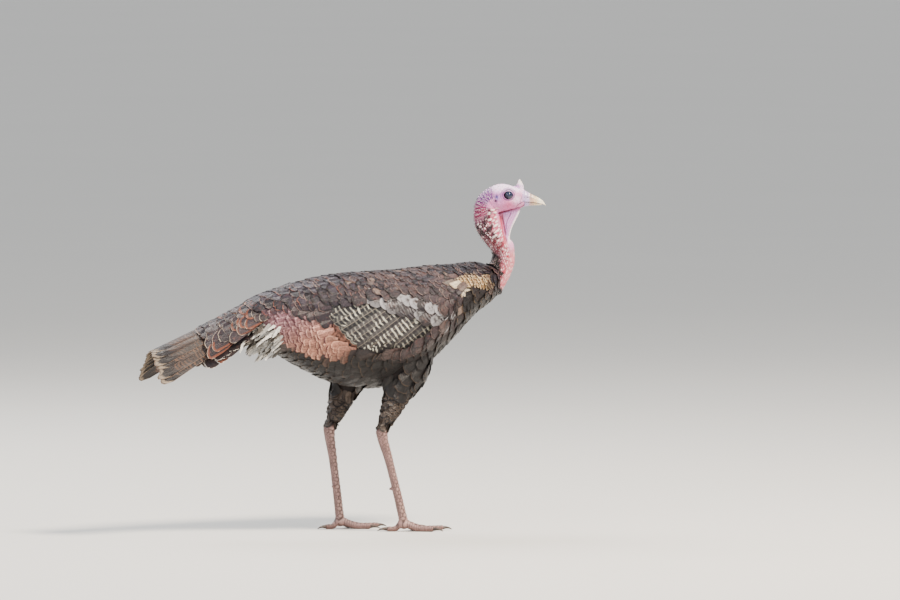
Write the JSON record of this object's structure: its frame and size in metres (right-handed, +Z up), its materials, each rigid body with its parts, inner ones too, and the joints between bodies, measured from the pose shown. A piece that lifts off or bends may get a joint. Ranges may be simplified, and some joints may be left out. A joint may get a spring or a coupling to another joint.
{
  "type": "wild turkey",
  "caption": "Still life-size museum model of a young male wild turkey in moult: head up and turned a little, bare pink head and neck, folded wings, drooping tail, feet flat on the floor",
  "frame": {"origin": "middle of the bottom of the bird's bounding box, on the floor under its soles", "axes": "+X forward towards the head, +Y to the bird's left, +Z up"},
  "size_m": [0.6388, 0.1812, 0.529],
  "materials": {
    "plumage": "dark bronze-brown contour feathers with black edges and a coppery sheen",
    "wing_feathers": "brown coverts and quills barred in brown-black and cream",
    "tail_feathers": "brown tail feathers and coverts with chestnut and buff tips",
    "face_skin": "bare wrinkled skin, lilac-pink with blue-grey round the ear",
    "neck_skin": "bare red-pink skin with pale beads and folds",
    "horn": "smooth horn, grey-lilac at the root and cream at the tip",
    "claw_horn": "dark brown claw horn",
    "eyeball": "wet, very dark brown eye",
    "leg_scutes": "pink-grey leg and toe scutes"
  },
  "bodies": {
    "root": {"trunk": "plumage", "thigh_left": "plumage", "thigh_right": "plumage", "wing_left": "wing_feathers", "wing_right": "wing_feathers", "tail": "tail_feathers", "tail_coverts_upper": "tail_feathers", "tail_coverts_lower": "tail_feathers", "head": "face_skin", "snood": "face_skin", "throat_fold": "face_skin", "neck_upper": "neck_skin", "neck_middle": "neck_skin", "neck_lower": "plumage", "bill_upper": "horn", "bill_lower": "horn", "eye_left": "eyeball", "eye_right": "eyeball", "shank_left": "leg_scutes", "shank_right": "leg_scutes", "foot_left": "leg_scutes", "foot_right": "leg_scutes", "claw_left_inner": "claw_horn", "claw_left_middle": "claw_horn", "claw_left_outer": "claw_horn", "claw_left_hind": "claw_horn", "claw_right_inner": "claw_horn", "claw_right_middle": "claw_horn", "claw_right_outer": "claw_horn", "claw_right_hind": "claw_horn"}
  },
  "joints": []
}
